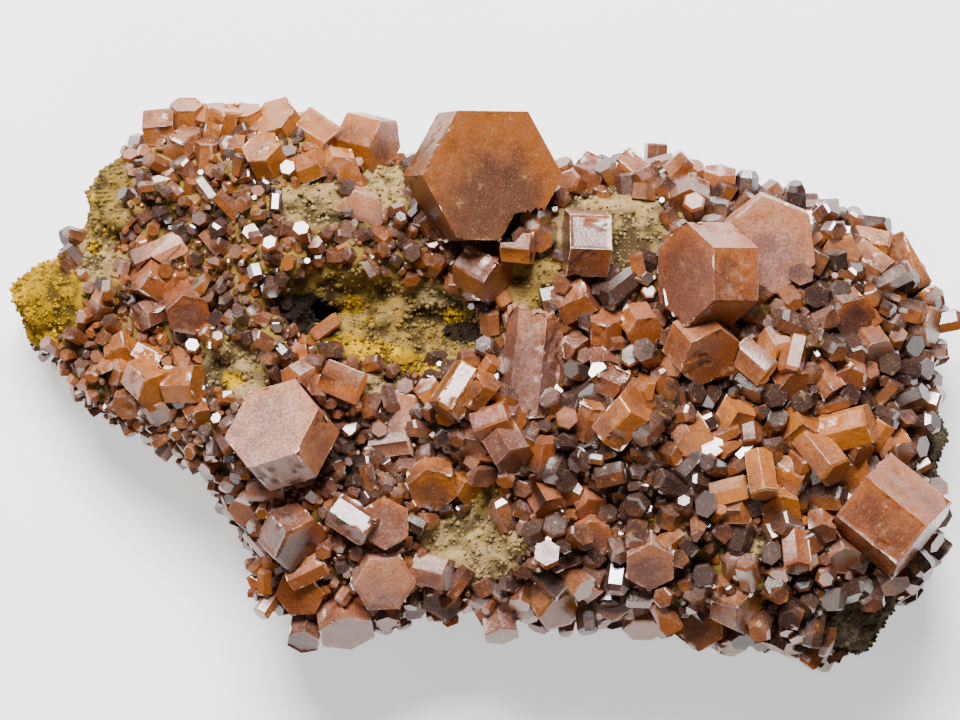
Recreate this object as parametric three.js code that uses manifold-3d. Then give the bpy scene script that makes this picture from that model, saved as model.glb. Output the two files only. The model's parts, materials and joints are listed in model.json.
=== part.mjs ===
// Vanadinite on matrix: a hand-size mineral specimen that lies on its back, crystals up.
// A slab of limonite rock carries a carpet of small crystals (the druse) and the larger
// vanadinite crystals, which are hexagonal prisms, alone or grown together.
// Millimetres, +Z up. X runs along the specimen and Y across it. The origin is on the
// resting face, under the middle of the specimen's outline.
import * as THREE from "three";
import { ImprovedNoise } from "three/addons/math/ImprovedNoise.js";
import { mergeVertices } from "three/addons/utils/BufferGeometryUtils.js";
import Module from "manifold-3d";

const wasm = await Module();
wasm.setup();

// Driving dimensions of the rock
const GIRDLE = 8; // height of the rock's widest line above the resting face
const CROWN = 19; // height of the rock's upper side at the middle
const RIGHT_RISE = 3; // the right half stands higher than the middle
const LEFT_FALL = 5; // the left end is lower than the middle
const EDGE_ROUNDING = 3.2; // power of the rounded edge: 2 is an ellipse, higher is a squarer slab
const REST_SHARE = 0.72; // share of the outline that lies flat on the surface
const RIM = 0.985; // crystals beyond this share of the outline sit at the rim's height
const LUMP_SIZE = 9;
const LUMP_HEIGHT = 2.6;
const SIDE_LUMPS = 0.08; // how far the sides bulge and fall back, as a share of the outline
const ROCK_DETAIL = 8;

// Fits
const GAP = 0.3; // clearance between a crystal and what carries it
const BURIED = 0.35; // a crystal's middle stands this share of its half-height above the rock
const SMALLEST_PIECE = 1.5; // mm3: chips smaller than this break away
const FINEST = 0.07; // facets closer than this to their neighbours are merged

// Shape of a crystal
const SIDES = 6;
const PYRAMID_SHARE = 0.16; // share of the radius that the pyramid faces take off the end
const PYRAMID_RISE = 0.75; // height of a pyramid face over its width
const PYRAMID_FROM = 1.15; // prisms at least this many times as long as wide have pyramid faces
const PLAIN_BELOW = 1.4; // crystals with a smaller radius have plain flat ends

// The rock's outline seen from above, counter-clockwise from the right-hand end
const OUTLINE = [
  [47.0, -9.4], [45.7, -4.9], [44.2, -1.4], [44.4, 2.6], [44.2, 7.6], [41.5, 12.1],
  [37.2, 14.4], [32.2, 16.1], [27.2, 18.1], [22.2, 19.6], [16.2, 20.2], [8.2, 19.6],
  [2.2, 20.6], [-4.8, 20.6], [-8.6, 21.4], [-14.8, 23.9], [-21.8, 25.0], [-27.8, 25.6],
  [-32.6, 25.0], [-34.4, 23.6], [-36.6, 23.5], [-38.1, 21.6], [-39.0, 17.1], [-39.2, 14.6],
  [-40.8, 13.2], [-41.8, 10.4], [-42.6, 6.0], [-42.4, 3.1], [-41.2, 1.0], [-39.6, -1.4],
  [-37.0, -3.1], [-33.6, -5.0], [-29.8, -7.0], [-27.2, -9.4], [-25.0, -12.2], [-23.1, -15.6],
  [-21.8, -18.9], [-20.4, -22.2], [-16.8, -24.2], [-11.8, -24.2], [-5.8, -22.5], [-0.8, -22.2],
  [6.2, -22.8], [12.2, -23.2], [20.2, -24.0], [26.2, -25.4], [31.2, -25.6], [36.2, -27.2],
  [40.4, -26.8], [42.7, -22.4], [45.2, -17.4], [46.8, -12.9],
];

// Hollows in the rock's upper side: middle, half-widths, turn in degrees, depth
const HOLLOWS = [
  { at: [-7.3, 5.4], half: [12, 4.4], turn: -12, depth: 5.5 }, // the long central trough
  { at: [-7.6, -7.6], half: [7.5, 5.2], turn: -35, depth: 5 }, // the dark recess below it
  { at: [11.4, -10.4], half: [5.5, 1.8], turn: 0, depth: 3 },
  { at: [-30.8, 4.0], half: [3.6, 2.0], turn: 0, depth: 2.5 },
  { at: [-0.8, 12.4], half: [4.5, 2.4], turn: 0, depth: 2.5 }, // under the great tablet
  { at: [1.0, -13.6], half: [5, 3], turn: 0, depth: 2 },
];

// Swellings of the rock beyond its outline: middle, half-sizes
const KNOBS = [
  { at: [-41.4, 7.8, 7.2], half: [6.0, 3.8, 4.6] }, // the bare ochre knob at the left end
  { at: [-41.6, 5.2, 6.0], half: [4.4, 2.8, 4.0] },
  { at: [-38.8, 7.0, 6.8], half: [5.4, 6.4, 5.2] },
];

// The cave: a slanting hole in the wall of the trough
const CAVE = { at: [-17.0, 6.4, 11.5], half: [2.6, 1.9, 7], lean: 24 };

// Plan of the druse, the carpet of small crystals fused to the rock, as closed outlines
const DRUSE_PLANS = [
  [[-40, 4], [-38, 14], [-34, 22], [-24, 25], [-14, 20], [-6, 16], [-8, 11], [-18, 9.5], [-20, 3], [-30, 2]],
  [[-41, 4], [-29, 3], [-24, -2], [-14, -3], [-14, -13], [-5, -15], [2, -23], [-6, -25], [-17, -26],
    [-23, -20], [-26, -11], [-38, -3]],
  [[8, 10], [18, 12], [24, 16], [40, 15], [46, 6], [45, -6], [40, -10], [40, -22], [31, -27], [4, -25],
    [4, -19], [8, -13], [3, -11], [3, -5], [6, 0]],
  [[-16, -4], [-10, 0], [6, 0], [6, -8], [-3, -7], [-14, -8]],
];
const STREWN = { seed: 11, spacing: 4.4, radius: [0.7, 1.3], length: [2.0, 3.2], tilt: 50, lift: 0.3 };

// Colours, roughness and metalness of the materials
const FINISHES = {
  matrix: { color: 0x8f7433, roughness: 0.95 },
  russet: { color: 0x8a4a2c, roughness: 0.35 },
  amber: { color: 0xa8602a, roughness: 0.35 },
  mauve: { color: 0x9a6f66, roughness: 0.4 },
};

// One crystal. x, y: its middle seen from above. azimuth and elevation: where its long axis
// points, in degrees; 90 up is straight at someone who looks down on it. spin turns it about
// that axis. lift is extra height over the rock.
function crystal(x, y, azimuth, elevation, radius, length, spin = 0, lift = 0) {
  return { x, y, azimuth, elevation, radius, length, spin, lift };
}

// The larger crystals. Those in one group that touch are one solid.
const GROUPS = [
  { name: "great_tablet", finish: "amber", crystals: [crystal(0.5, 20.0, 0, 72, 7.4, 6.4, 0, 5.0)] },
  { name: "left_tablet", finish: "mauve", crystals: [crystal(-19.6, -5.9, 130, 47, 5.3, 4.6, 0, 1.9)] },
  { name: "mauve_tablet", finish: "mauve", crystals: [crystal(29.0, 13.3, -70, 82, 5.0, 3.6, -12, 0.8)] },
  {
    name: "stacked_tablets",
    finish: "russet",
    crystals: [
      crystal(22.9, 10.1, 180, 36, 5.2, 5.6, 30, 1.2),
      crystal(22.2, 2.9, -50, 45, 3.4, 3.8, 10, 1.6),
      crystal(25.0, 7.6, -5, 8, 1.3, 3.6, 0, 2.2),
    ],
  },
  { name: "tall_lath", finish: "mauve", crystals: [crystal(5.4, 1.8, 84, 8, 2.9, 11.2, 22, 1.6)] },
  { name: "shiny_prism", finish: "russet", crystals: [crystal(10.8, 13.3, 178, 8, 3.6, 4.2, -10, 0.8)] },
  { name: "right_block", finish: "russet", crystals: [crystal(41.4, -14.0, -39, 10, 5.0, 7.9, 45, 1.0)] },
  { name: "white_cube", finish: "amber", crystals: [crystal(4.0, 12.9, -5, 12, 1.8, 3.0, 8, 1.8)] },
  { name: "brown_barrel", finish: "russet", crystals: [crystal(0.5, 10.4, -30, 30, 2.6, 4.2, 20, 0.4)] },
  {
    name: "top_left_row",
    finish: "amber",
    crystals: [
      crystal(-32.0, 25.2, 5, 12, 2.1, 3.2),
      crystal(-29.5, 26.0, 90, 30, 1.7, 3.4, 30),
      crystal(-27.5, 25.7, 90, 50, 1.4, 2.8, 15),
      crystal(-26.2, 25.0, 78, 18, 1.8, 4.6, 10, 0.6),
      crystal(-24.8, 25.7, 85, 25, 1.4, 3.0, 30),
      crystal(-23.0, 25.4, 105, 25, 1.6, 3.4),
      crystal(-20.0, 25.3, 125, 40, 2.5, 3.4),
      crystal(-16.2, 24.0, -35, 25, 2.5, 4.4),
      crystal(-11.2, 23.6, -15, 30, 3.0, 4.2, 10),
      crystal(-21.3, 22.0, 115, 45, 2.1, 3.2, 0, 0.6),
      crystal(-29.8, 23.1, 215, 40, 1.9, 2.6, 10),
      crystal(-27.4, 21.9, 88, 15, 1.2, 3.4, 25),
      crystal(-17.0, 21.0, 20, 20, 1.7, 3.2),
      crystal(-14.0, 20.8, -70, 60, 2.2, 2.2),
      crystal(-24.5, 23.1, 0, 15, 1.3, 2.6),
    ],
  },
  { name: "grey_plate", finish: "mauve", crystals: [crystal(-12.0, 16.5, -80, 72, 2.6, 1.8)] },
  {
    name: "left_rosette",
    finish: "russet",
    crystals: [
      crystal(-33.0, 9.6, 150, 35, 2.0, 3.2, 15),
      crystal(-29.3, 6.9, -75, 58, 2.4, 3.2, 0, 0.8),
      crystal(-33.1, 6.4, 205, 35, 1.6, 2.8, 0, 0.6),
      crystal(-30.9, 9.2, 75, 25, 1.4, 3.6, 10),
    ],
  },
  { name: "white_bar", finish: "mauve", crystals: [crystal(-32.1, 12.6, 24, 8, 1.4, 5.4, 10, 0.3)] },
  { name: "amber_knob", finish: "amber", crystals: [crystal(-38.0, 7.3, 60, 50, 1.5, 2.4)] },
  {
    name: "left_edge_cluster",
    finish: "amber",
    crystals: [
      crystal(-33.1, -0.7, -45, 45, 2.4, 3.8, 0, 0.6),
      crystal(-29.6, -0.8, 0, 25, 2.1, 3.4, 5),
      crystal(-35.9, 0.4, 180, 35, 1.5, 2.4),
      crystal(-33.3, 1.8, -28, 12, 1.5, 3.0, 20),
      crystal(-36.0, 2.9, 30, 30, 1.7, 2.6),
      crystal(-35.3, -2.4, -110, 50, 1.7, 2.6),
      crystal(-32.4, -3.2, -90, 40, 1.9, 2.2, 30),
      crystal(-28.3, -3.6, -60, 40, 1.4, 2.4),
    ],
  },
  {
    name: "cave_cluster",
    finish: "russet",
    crystals: [
      crystal(-18.0, 2.2, 100, 45, 1.0, 2.2),
      crystal(-17.8, 0.1, -150, 40, 1.6, 2.8),
      crystal(-16.6, -1.4, -80, 30, 1.4, 2.8),
      crystal(-13.6, -0.6, -22, 10, 1.8, 4.0, 0, 0.6),
    ],
  },
  {
    name: "leaning_prism",
    finish: "amber",
    crystals: [
      crystal(-2.1, -1.5, 237, 14, 1.9, 5.2, -17, 1.2),
      crystal(0.2, -1.5, 50, 30, 1.5, 3.2, 0, 0.8),
      crystal(-4.5, -1.9, 130, 30, 1.4, 3.0),
    ],
  },
  {
    name: "coated_bars",
    finish: "mauve",
    crystals: [crystal(-7.4, -3.6, 75, 12, 1.4, 4.2, 30, 0.8), crystal(-8.7, -6.7, 8, 12, 1.6, 4.2, 0, 0.4)],
  },
  {
    name: "middle_cluster",
    finish: "russet",
    crystals: [
      crystal(-0.2, -6.5, -120, 40, 1.8, 2.8),
      crystal(3.0, -7.2, -60, 35, 2.2, 3.6, 0, 0.6),
      crystal(1.5, -4.4, 20, 14, 1.8, 3.8, 10, 0.6),
      crystal(6.4, -7.7, 82, 25, 1.5, 3.4),
      crystal(6.2, -9.7, -90, 40, 1.3, 2.2),
    ],
  },
  {
    name: "copper_tablet",
    finish: "amber",
    crystals: [crystal(-4.6, -10.8, -85, 58, 2.6, 2.6, 10, 1.2), crystal(-1.1, -11.0, -50, 45, 1.7, 2.4)],
  },
  {
    name: "dark_tablet",
    finish: "russet",
    crystals: [crystal(-9.5, -14.8, 20, 78, 2.7, 2.0, 10), crystal(-12.5, -14.5, -33, 14, 1.8, 4.4, 15, 1.4)],
  },
  { name: "wedge_tablet", finish: "russet", crystals: [crystal(-18.6, -16.1, -45, 40, 3.2, 3.4, 0, 0.4)] },
  {
    name: "edge_prisms",
    finish: "mauve",
    crystals: [crystal(-23.0, -13.1, -130, 40, 1.8, 3.0), crystal(-21.2, -11.5, 0, 10, 1.3, 3.8)],
  },
  {
    name: "corner_cluster",
    finish: "russet",
    crystals: [
      crystal(-17.1, -19.5, 25, 12, 1.5, 4.2, 5, 1.2),
      crystal(-17.8, -21.6, -115, 62, 2.6, 2.0),
      crystal(-13.5, -24.3, -80, 35, 3.1, 4.2, 0, 0.4),
      crystal(-17.5, -25.9, -100, 40, 1.8, 2.8),
    ],
  },
  {
    name: "corner_tablets",
    finish: "mauve",
    crystals: [
      crystal(-9.6, -20.4, -60, 65, 3.2, 2.6, 0, 0.8),
      crystal(-4.6, -19.7, -12, 22, 1.8, 3.6, 0, 0.8),
      crystal(-3.5, -21.9, -30, 68, 2.8, 2.0),
      crystal(-6.7, -23.0, -60, 45, 1.4, 2.4),
      crystal(-9.1, -24.2, -90, 35, 1.4, 2.4),
    ],
  },
  {
    name: "lower_edge_prisms",
    finish: "mauve",
    crystals: [
      crystal(2.2, -25.0, -80, 30, 1.9, 3.0),
      crystal(3.1, -22.1, 58, 25, 1.4, 3.8, 0, 0.4),
      crystal(1.0, -23.4, -60, 50, 1.7, 2.2),
      crystal(4.8, -23.1, -90, 40, 1.2, 2.2),
    ],
  },
  { name: "ginger_block", finish: "amber", crystals: [crystal(7.4, -22.2, -55, 40, 2.7, 4.6)] },
  {
    name: "lower_tablets",
    finish: "mauve",
    crystals: [
      crystal(13.8, -22.2, 190, 68, 2.5, 2.6, 25),
      crystal(11.2, -20.9, 40, 40, 1.7, 2.4),
      crystal(11.4, -23.4, -80, 40, 1.6, 2.4),
    ],
  },
  { name: "pink_tablet", finish: "mauve", crystals: [crystal(17.2, -18.4, -90, 60, 2.7, 2.8, 0, 1.0)] },
  {
    name: "lower_right_cluster",
    finish: "amber",
    crystals: [
      crystal(16.7, -24.7, -90, 35, 2.1, 2.6, 30),
      crystal(23.8, -21.0, 100, 40, 1.8, 2.8),
      crystal(22.8, -24.4, 200, 55, 3.3, 2.6, 10),
      crystal(26.0, -23.3, -25, 38, 2.4, 3.4, 0, 0.8),
      crystal(25.5, -26.5, -80, 35, 1.7, 2.4),
    ],
  },
  { name: "lone_amber", finish: "amber", crystals: [crystal(31.9, -26.4, -90, 25, 1.7, 2.6)] },
  {
    name: "right_bank",
    finish: "amber",
    crystals: [
      crystal(36.2, -9.5, -85, 70, 3.4, 2.4, 10),
      crystal(34.4, -7.9, -52, 30, 2.0, 5.4, 0, 2.0),
      crystal(37.0, -5.3, 14, 18, 2.2, 4.8, 0, 1.2),
      crystal(32.3, -4.8, 40, 35, 2.3, 3.4),
      crystal(37.8, -7.2, -40, 35, 1.4, 2.4, 0, 1.6),
      crystal(40.2, -5.8, 58, 15, 1.2, 3.0, 0, 0.6),
      crystal(41.7, -7.0, -60, 40, 2.0, 3.0),
    ],
  },
  {
    name: "orange_prisms",
    finish: "amber",
    crystals: [
      crystal(28.2, -9.8, -82, 25, 1.6, 4.6, 0, 1.0),
      crystal(31.2, -9.8, -28, 18, 1.7, 3.8),
      crystal(25.1, -11.4, 14, 12, 1.4, 3.6, 0, 0.4),
      crystal(25.7, -13.4, 0, 30, 1.5, 2.6),
      crystal(30.2, -13.1, -80, 55, 2.2, 2.0),
    ],
  },
  {
    name: "right_slope_cluster",
    finish: "russet",
    crystals: [
      crystal(31.8, -17.6, -86, 32, 1.6, 3.8, 0, 0.6),
      crystal(34.4, -14.9, -90, 40, 1.6, 2.4),
      crystal(36.7, -17.7, -80, 45, 1.9, 2.6),
      crystal(37.1, -15.2, 130, 30, 1.5, 2.8),
    ],
  },
  { name: "block_foot", finish: "amber", crystals: [crystal(41.6, -20.2, -70, 35, 1.8, 2.6)] },
  {
    name: "upper_right_tablets",
    finish: "russet",
    crystals: [
      crystal(37.2, 6.4, -50, 55, 2.3, 2.6, 0, 0.6),
      crystal(37.2, 0.7, -92, 50, 1.7, 3.6, 0, 0.6),
      crystal(39.4, 3.1, -60, 40, 2.0, 3.0),
      crystal(34.8, -0.5, -55, 15, 1.6, 3.2),
      crystal(31.3, -0.3, -60, 45, 1.9, 2.6),
    ],
  },
  {
    name: "shoulder_prisms",
    finish: "amber",
    crystals: [
      crystal(36.4, 12.4, -90, 75, 2.2, 2.2, 30),
      crystal(39.6, 13.4, -12, 8, 1.8, 4.4),
      crystal(39.5, 11.1, -38, 20, 2.0, 4.0),
      crystal(43.1, 11.2, -60, 8, 1.8, 6.0),
      crystal(42.0, 10.4, -60, 60, 1.8, 2.4),
    ],
  },
  {
    name: "end_prisms",
    finish: "amber",
    crystals: [crystal(44.5, 5.2, -10, 25, 2.3, 3.4), crystal(44.8, 8.3, -30, 30, 1.6, 2.6)],
  },
  {
    name: "barrel_pair",
    finish: "amber",
    crystals: [crystal(14.4, -4.4, 48, 25, 2.2, 4.6, 0, 0.8), crystal(11.1, -4.4, 75, 20, 1.5, 3.8, 0, 0.4)],
  },
  {
    name: "upper_middle_cluster",
    finish: "russet",
    crystals: [
      crystal(16.2, 5.1, -60, 52, 2.0, 3.0, 0, 0.6),
      crystal(12.8, 4.6, 90, 35, 1.8, 3.6),
      crystal(9.9, 7.7, 25, 20, 2.2, 3.6),
      crystal(13.7, -0.7, -25, 30, 1.8, 3.2, 0, 0.4),
      crystal(12.6, 1.5, -80, 40, 1.6, 2.4),
      crystal(9.5, 3.0, -40, 30, 1.8, 2.8),
    ],
  },
  {
    name: "copper_bar",
    finish: "amber",
    crystals: [crystal(27.5, 1.4, -42, 15, 1.8, 4.0, 0, 0.8), crystal(29.7, 3.1, -60, 35, 1.7, 2.6)],
  },
  {
    name: "crest_prisms",
    finish: "russet",
    crystals: [crystal(12.0, 20.2, -25, 28, 2.2, 3.4), crystal(15.6, 20.7, -40, 20, 1.9, 3.0)],
  },
  {
    name: "crest_barrels",
    finish: "russet",
    crystals: [
      crystal(21.2, 17.7, -90, 52, 2.4, 2.8, 0, 0.4),
      crystal(24.3, 19.0, 84, 22, 1.8, 3.8),
    ],
  },
  {
    name: "lower_middle_cluster",
    finish: "russet",
    crystals: [
      crystal(11.2, -12.6, -70, 45, 1.8, 2.6),
      crystal(11.5, -15.6, -80, 60, 2.0, 2.4),
      crystal(6.8, -12.4, -60, 35, 1.9, 2.8),
    ],
  },
  {
    name: "orange_barrels",
    finish: "amber",
    crystals: [crystal(21.2, -5.6, -60, 40, 2.0, 3.0), crystal(25.7, -3.9, 60, 30, 2.0, 3.2)],
  },
];

// Smaller crystals that are grown fast to the rock
const FUSED = [
  crystal(16.9, -11.3, -30, 35, 1.7, 2.4),
  crystal(33.4, 3.6, -80, 30, 1.7, 2.6),
  crystal(35.4, 13.9, 80, 30, 1.4, 3.0),
  crystal(-20.8, -21.2, -95, 30, 1.5, 2.8),
  crystal(-20.3, 4.1, -85, 25, 1.1, 2.8),
  crystal(17.8, 19.4, -60, 30, 1.5, 2.4),
  crystal(19.4, -21.2, 20, 25, 1.8, 2.8),
  crystal(6.7, -17.0, -25, 20, 1.7, 3.2),
];

const noise = new ImprovedNoise();
const radians = THREE.MathUtils.degToRad;

// Turns a closed geometry into a solid: shared vertices merged, collapsed triangles dropped.
function solidOf(geometry) {
  const bare = new THREE.BufferGeometry().setAttribute("position", geometry.getAttribute("position"));
  if (geometry.index) bare.setIndex(geometry.index);
  const merged = mergeVertices(bare, 1e-4);
  const kept = [];
  for (let i = 0; i < merged.index.count; i += 3) {
    const [a, b, c] = merged.index.array.slice(i, i + 3);
    if (a !== b && b !== c && c !== a) kept.push(a, b, c);
  }
  const vertProperties = merged.getAttribute("position").array;
  return new wasm.Manifold(new wasm.Mesh({ numProp: 3, vertProperties, triVerts: new Uint32Array(kept) }));
}

// Turns a solid back into a geometry with flat faces.
function geometryOf(solid) {
  const { vertProperties, triVerts } = solid.asOriginal().simplify(FINEST).getMesh();
  const indexed = new THREE.BufferGeometry()
    .setAttribute("position", new THREE.BufferAttribute(vertProperties, 3))
    .setIndex(new THREE.BufferAttribute(triVerts, 1));
  const faceted = indexed.toNonIndexed();
  faceted.computeVertexNormals();
  return faceted;
}

function unionOf(solids) {
  return solids.reduce((whole, next) => whole.add(next));
}

// Pseudo-random numbers from 0 to 1, the same on every run.
function randomFrom(seed) {
  let state = seed;
  return () => {
    state = (state + 0x6d2b79f5) | 0;
    let t = Math.imul(state ^ (state >>> 15), 1 | state);
    t = (t + Math.imul(t ^ (t >>> 7), 61 | t)) ^ t;
    return ((t ^ (t >>> 14)) >>> 0) / 4294967296;
  };
}

// Distance from the origin to the rock's outline, as a function of direction.
const outlineReach = (() => {
  const corners = OUTLINE.map(([x, y]) => new THREE.Vector3(x, y, 0));
  const edge = new THREE.CatmullRomCurve3(corners, true, "centripetal").getPoints(720);
  const steps = edge.map((p) => ({ angle: Math.atan2(p.y, p.x), reach: Math.hypot(p.x, p.y) }));
  steps.sort((a, b) => a.angle - b.angle);
  return (angle) => {
    const next = steps.findIndex((s) => s.angle >= angle);
    if (next <= 0) return steps[0].reach;
    const [a, b] = [steps[next - 1], steps[next]];
    return THREE.MathUtils.mapLinear(angle, a.angle, b.angle + 1e-9, a.reach, b.reach);
  };
})();

// Full height of the rock's upper side, before its edge is rounded off.
function crownHeight(x, y) {
  const hollow = HOLLOWS.reduce((sum, { at, half, turn, depth }) => {
    const [c, s] = [Math.cos(radians(turn)), Math.sin(radians(turn))];
    const [dx, dy] = [x - at[0], y - at[1]];
    const across = (c * dx + s * dy) / half[0];
    const along = (c * dy - s * dx) / half[1];
    return sum + depth * Math.exp(-across * across - along * along);
  }, 0);
  const rise = RIGHT_RISE * THREE.MathUtils.smoothstep(x, -5, 32);
  const fall = LEFT_FALL * THREE.MathUtils.smoothstep(-x, 18, 44);
  return CROWN + rise - fall - hollow;
}

function edgeShare(share) {
  return (1 - share ** EDGE_ROUNDING) ** (1 / EDGE_ROUNDING);
}

// Height of the rock's upper side, given how far out to its outline a point lies.
function upperSide(x, y, share) {
  const coarse = noise.noise(x / LUMP_SIZE, y / LUMP_SIZE, 0.5);
  const fine = noise.noise((2 * x) / LUMP_SIZE, (2 * y) / LUMP_SIZE, 0.5) / 2;
  const rounded = GIRDLE + (crownHeight(x, y) - GIRDLE) * edgeShare(share);
  return rounded + LUMP_HEIGHT * (coarse + fine) * (1 - share ** 8);
}

function rockTop(x, y) {
  return upperSide(x, y, Math.min(Math.hypot(x, y) / outlineReach(Math.atan2(y, x)), RIM));
}

// The rock's body: a ball drawn out to the outline, with a flat foot and a lumpy skin.
// skin grows it evenly, which leaves that clearance around the rock.
function rockBody(skin = 0) {
  const ball = new THREE.IcosahedronGeometry(1, ROCK_DETAIL);
  const points = ball.getAttribute("position");
  const p = new THREE.Vector3();
  for (let i = 0; i < points.count; i++) {
    p.fromBufferAttribute(points, i);
    const share = Math.min(Math.hypot(p.x, p.y), 1);
    const angle = Math.atan2(p.y, p.x);
    const bulge = 1 + SIDE_LUMPS * share ** 4 * noise.noise(9 * p.x, 9 * p.y, 4 * p.z);
    const reach = (outlineReach(angle) * bulge + skin * share ** 8) * share;
    const [x, y] = [reach * Math.cos(angle), reach * Math.sin(angle)];
    const foot = GIRDLE * (1 - Math.min(1, edgeShare(share) / edgeShare(REST_SHARE))) - skin;
    points.setXYZ(i, x, y, p.z > 1e-6 ? upperSide(x, y, share) + skin : foot);
  }
  return solidOf(ball);
}

function ellipsoid(half, skin, detail) {
  const ball = new THREE.IcosahedronGeometry(1, detail);
  return ball.scale(half[0] + skin, half[1] + skin, half[2] + skin);
}

function rock(skin = 0) {
  const knobs = KNOBS.map(({ at, half }) => solidOf(ellipsoid(half, skin, 2).translate(...at)));
  return unionOf([rockBody(skin), ...knobs]);
}

function cave() {
  const hole = ellipsoid(CAVE.half, 0, 2);
  return solidOf(hole.rotateY(radians(CAVE.lean)).translate(...CAVE.at));
}

// A hexagonal prism with pyramid faces at its free end, set in place. skin grows it evenly.
function crystalSolid({ x, y, azimuth, elevation, radius, length, spin, lift }, skin = 0) {
  const [r, half] = [radius + skin, length / 2 + skin];
  const tapers = radius >= PLAIN_BELOW && length >= PYRAMID_FROM * 2 * radius;
  const pyramid = tapers ? PYRAMID_SHARE * r : 0;
  const profile = [
    new THREE.Vector2(0, -half),
    new THREE.Vector2(r, -half),
    new THREE.Vector2(r, half - pyramid * PYRAMID_RISE),
    new THREE.Vector2(r - pyramid, half),
    new THREE.Vector2(0, half),
  ];
  if (!tapers) profile.splice(3, 1);
  const prism = new THREE.LatheGeometry(profile, SIDES).rotateX(Math.PI / 2).rotateZ(Math.PI / SIDES);
  const standing = (length / 2) * Math.sin(radians(elevation)) + radius * Math.cos(radians(elevation));
  prism.rotateZ(radians(spin)).rotateY(radians(90 - elevation)).rotateZ(radians(azimuth));
  prism.translate(x, y, rockTop(x, y) + BURIED * standing + lift);
  return solidOf(prism);
}

// The pieces of a solid that hold together, largest first, without its chips.
function piecesOf(solid) {
  const pieces = solid.decompose().filter((piece) => piece.volume() > SMALLEST_PIECE);
  return pieces.sort((a, b) => b.volume() - a.volume());
}

// Small crystals strewn over the druse's plan, where the larger ones leave room.
function strewnCrystals(larger) {
  const random = randomFrom(STREWN.seed);
  const between = ([low, high]) => low + (high - low) * random();
  const strewn = [];
  for (let column = -47; column < 47; column += STREWN.spacing) {
    for (let row = -28; row < 28; row += STREWN.spacing) {
      const [x, y] = [column + STREWN.spacing * random(), row + STREWN.spacing * random()];
      const [azimuth, elevation] = [360 * random(), 90 - STREWN.tilt * random()];
      const [radius, length, spin] = [between(STREWN.radius), between(STREWN.length), 60 * random()];
      const small = crystal(x, y, azimuth, elevation, radius, length, spin, STREWN.lift);
      const growsHere = DRUSE_PLANS.some((plan) => insideOutline(plan, x, y));
      const clear = larger.every((c) => Math.hypot(c.x - x, c.y - y) > Math.max(c.radius, c.length / 2) + radius);
      if (growsHere && clear) strewn.push(small);
    }
  }
  return strewn;
}

function insideOutline(outline, x, y) {
  let inside = false;
  outline.forEach(([ax, ay], i) => {
    const [bx, by] = outline[(i + 1) % outline.length];
    if (ay > y !== by > y && x < ax + ((bx - ax) * (y - ay)) / (by - ay)) inside = !inside;
  });
  return inside;
}

function meshOf(name, solid, finish) {
  const material = new THREE.MeshStandardMaterial({ ...FINISHES[finish], metalness: 0, flatShading: true });
  const mesh = new THREE.Mesh(geometryOf(solid), material);
  mesh.name = name;
  return mesh;
}

const larger = GROUPS.flatMap(({ crystals }) => crystals);
const fused = [...FUSED, ...strewnCrystals([...larger, ...FUSED])];

const specimen = new THREE.Group();
const matrix = unionOf([rock(), ...fused.map((c) => crystalSolid(c))]).subtract(cave());
specimen.add(meshOf("matrix", piecesOf(matrix)[0], "matrix"));

let taken = unionOf([rock(GAP), ...fused.map((c) => crystalSolid(c, GAP))]);
for (const { name, finish, crystals } of GROUPS) {
  const grown = unionOf(crystals.map((c) => crystalSolid(c))).subtract(taken);
  const pieces = piecesOf(grown);
  pieces.forEach((piece, i) => {
    specimen.add(meshOf(pieces.length > 1 ? `${name}_${i + 1}` : name, piece, finish));
  });
  taken = taken.add(unionOf(crystals.map((c) => crystalSolid(c, GAP))));
}

export default specimen;
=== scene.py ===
"""Vanadinite on matrix: the dressed model.

A slab of iron-stained limonite lies on its flat back. Its upper side carries red-brown
hexagonal vanadinite crystals: a few large tablets and prisms, and a carpet of small
crystals, the druse, with open patches of ochre, cream and yellow ground between them.
The rock and the larger crystals are grown out of the CAD solids, and the druse and the
loose grains are strewn over the rock.
"""

from __future__ import annotations

import json
import logging
import math
from dataclasses import dataclass, field
from enum import Enum
from typing import Any, Iterable, Iterator

import bmesh
import bpy
import numpy as np
from mathutils import Matrix, Vector, noise
from mathutils.bvhtree import BVHTree


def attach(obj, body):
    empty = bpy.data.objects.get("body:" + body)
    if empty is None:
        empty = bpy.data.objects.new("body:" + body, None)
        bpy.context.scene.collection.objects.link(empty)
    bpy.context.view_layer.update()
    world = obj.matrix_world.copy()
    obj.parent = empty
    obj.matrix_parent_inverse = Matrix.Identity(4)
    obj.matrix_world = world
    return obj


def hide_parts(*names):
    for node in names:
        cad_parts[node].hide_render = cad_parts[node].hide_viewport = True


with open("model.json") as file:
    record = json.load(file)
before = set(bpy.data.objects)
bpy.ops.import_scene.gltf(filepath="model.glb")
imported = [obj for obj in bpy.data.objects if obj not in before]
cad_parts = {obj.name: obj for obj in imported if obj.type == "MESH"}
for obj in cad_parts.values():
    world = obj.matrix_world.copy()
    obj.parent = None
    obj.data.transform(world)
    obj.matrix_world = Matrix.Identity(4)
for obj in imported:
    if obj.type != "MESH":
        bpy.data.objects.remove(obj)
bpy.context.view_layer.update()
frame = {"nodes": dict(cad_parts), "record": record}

LOG = logging.getLogger("vanadinite")
MM = 0.001
BODY = "root"
# where the light comes from, for the painted glow at the rims that face it
SKYWARD = Vector((0.35, 0.94, 0.0))
# painted glow: faces turned to the lower side of the picture are painted warmer, as if lit through
GLOW_GAIN = -1.2
# faces turned this way, up and to the front, take the pinkish bloom: dusting, and in part painted sheen
# where the light falls
SHEEN_AND_DUST_FROM = np.array((0.0, 0.7, 0.5))
WELD = 1e-7
ROCK_NODE = "matrix"

Colour = tuple[float, float, float]


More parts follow.
